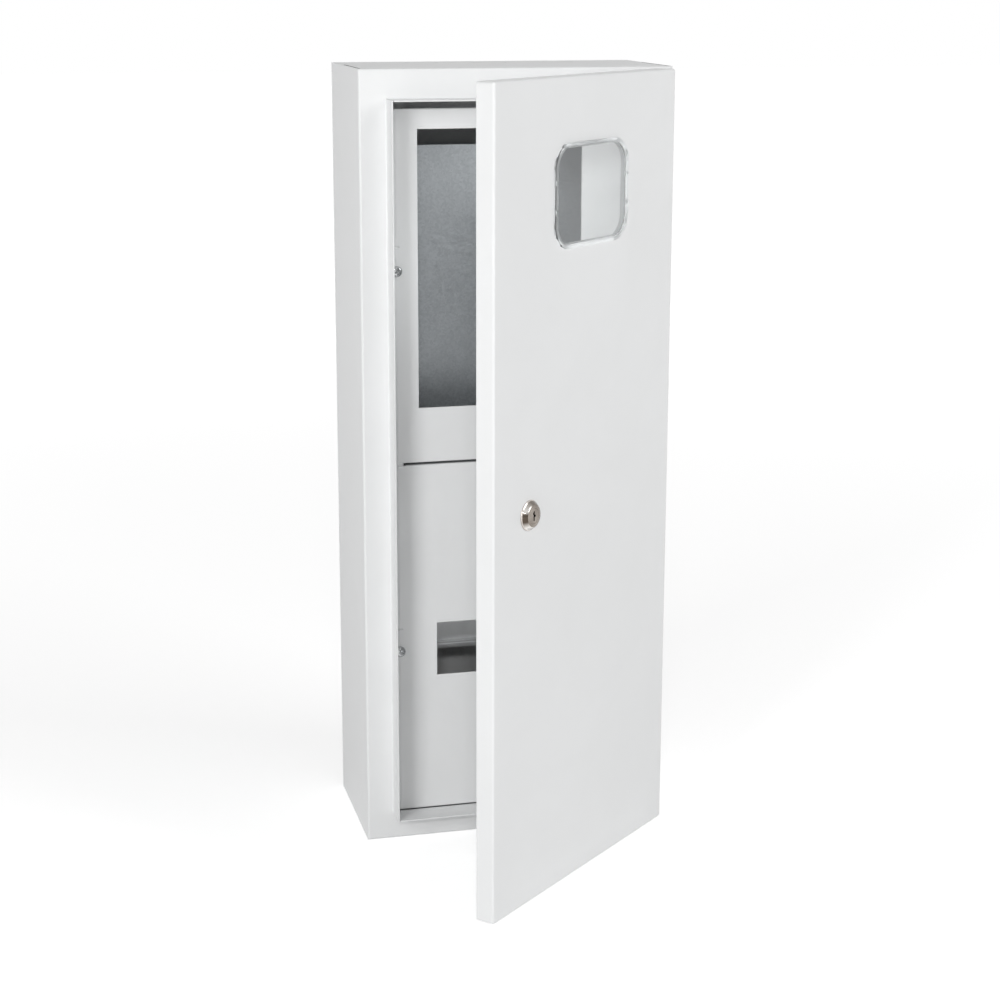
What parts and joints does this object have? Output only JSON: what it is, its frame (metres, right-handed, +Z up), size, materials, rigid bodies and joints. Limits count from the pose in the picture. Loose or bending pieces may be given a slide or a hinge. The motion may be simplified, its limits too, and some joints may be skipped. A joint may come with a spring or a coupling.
{
  "type": "electrical cabinet",
  "caption": "Tall wall-mounted electrical metering cabinet of folded sheet steel, with a hinged lockable door, a viewing window and inner panels with a meter aperture and a modular aperture.",
  "frame": {"origin": "centre of the four wall-fixing holes on the back face of the case", "axes": "+X to the right seen from the front, +Y back into the wall, +Z up"},
  "size_m": [0.26, 0.3128, 0.65],
  "materials": {
    "powder_coat": "light grey fine-textured powder coat",
    "zinc": "zinc-coated steel with a faint spangle",
    "nickel": "polished nickel plate",
    "brass": "plain brass",
    "insulator": "blue moulded plastic",
    "clear": "clear moulded plastic"
  },
  "bodies": {
    "case": {"case": "powder_coat", "panel_rail_left": "powder_coat", "panel_rail_right": "powder_coat", "upper_panel": "powder_coat", "lower_panel": "powder_coat", "panel_screws": "zinc", "meter_plate": "zinc", "plate_studs": "zinc", "plate_nuts": "zinc", "din_rail": "zinc", "rail_bracket_left": "zinc", "rail_bracket_right": "zinc", "rail_screws": "zinc", "neutral_bar": "brass", "neutral_insulators": "insulator", "earth_bar": "brass", "earth_posts": "zinc", "bar_screws": "zinc", "terminal_screws": "zinc", "earth_stud": "zinc", "earth_nut": "zinc", "hinge_bracket_upper": "powder_coat", "hinge_bracket_lower": "powder_coat", "hinge_pin_upper": "zinc", "hinge_pin_lower": "zinc", "lock_keeper": "powder_coat"},
    "door": {"door_leaf": "powder_coat", "door_hinge_upper": "powder_coat", "door_hinge_lower": "powder_coat", "window": "clear", "lock_body": "nickel", "lock_nut": "nickel", "door_earth_stud": "zinc", "door_earth_nut": "zinc"},
    "lock": {"lock_plug": "nickel", "lock_cam": "zinc", "cam_screw": "zinc"}
  },
  "joints": [
    {"name": "door_hinge", "type": "hinge", "parent": "case", "child": "door", "pos_m": [0.1125, -0.148, 0], "axis": [0, 0, 1], "range_deg": [-41.9, 53.1]},
    {"name": "lock_turn", "type": "hinge", "parent": "door", "child": "lock", "pos_m": [-0.02964, -0.28158, -0.0035], "axis": [-0.6678, 0.7443, 0], "range_deg": [0, 90]}
  ]
}
